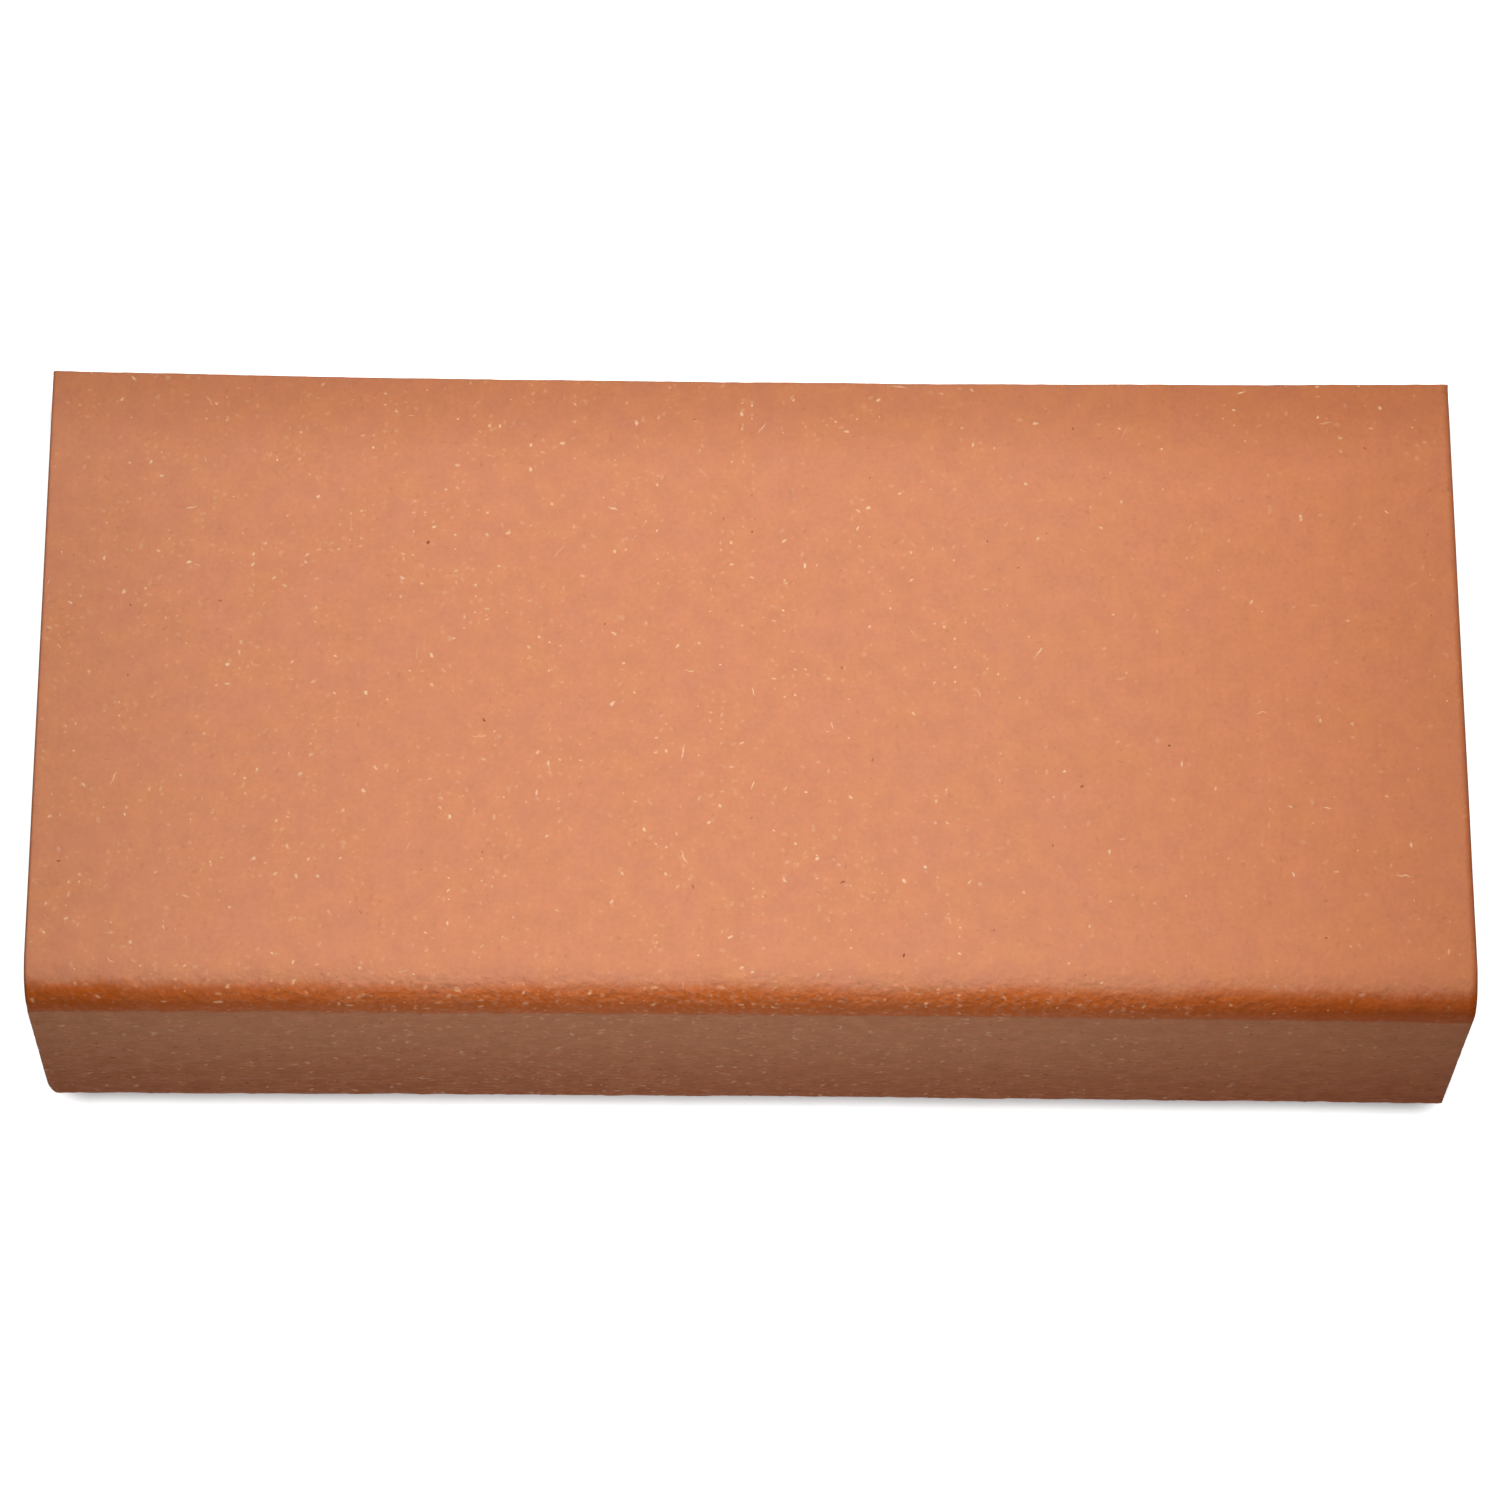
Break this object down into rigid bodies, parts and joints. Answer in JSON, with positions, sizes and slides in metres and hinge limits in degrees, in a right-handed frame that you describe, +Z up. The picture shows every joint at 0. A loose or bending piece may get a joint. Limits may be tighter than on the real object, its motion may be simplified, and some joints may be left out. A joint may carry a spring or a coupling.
{
  "type": "stair tread tile",
  "caption": "L-shaped stair tread tile of unglazed terracotta with a rounded nose and a short front leg, for edging masonry steps.",
  "frame": {"origin": "centre of the tile's footprint on the floor it rests on, as it lies unheld", "axes": "+X along the tile's length, +Z up from the floor, +Y from the front leg towards the plate's back edge; the walking surface slopes down towards +Y because the tile rests on its leg"},
  "size_m": [0.24, 0.124, 0.0486],
  "materials": {
    "fired_clay": "matte unglazed fired clay"
  },
  "bodies": {
    "root": {"tread_tile": "fired_clay"}
  },
  "joints": []
}
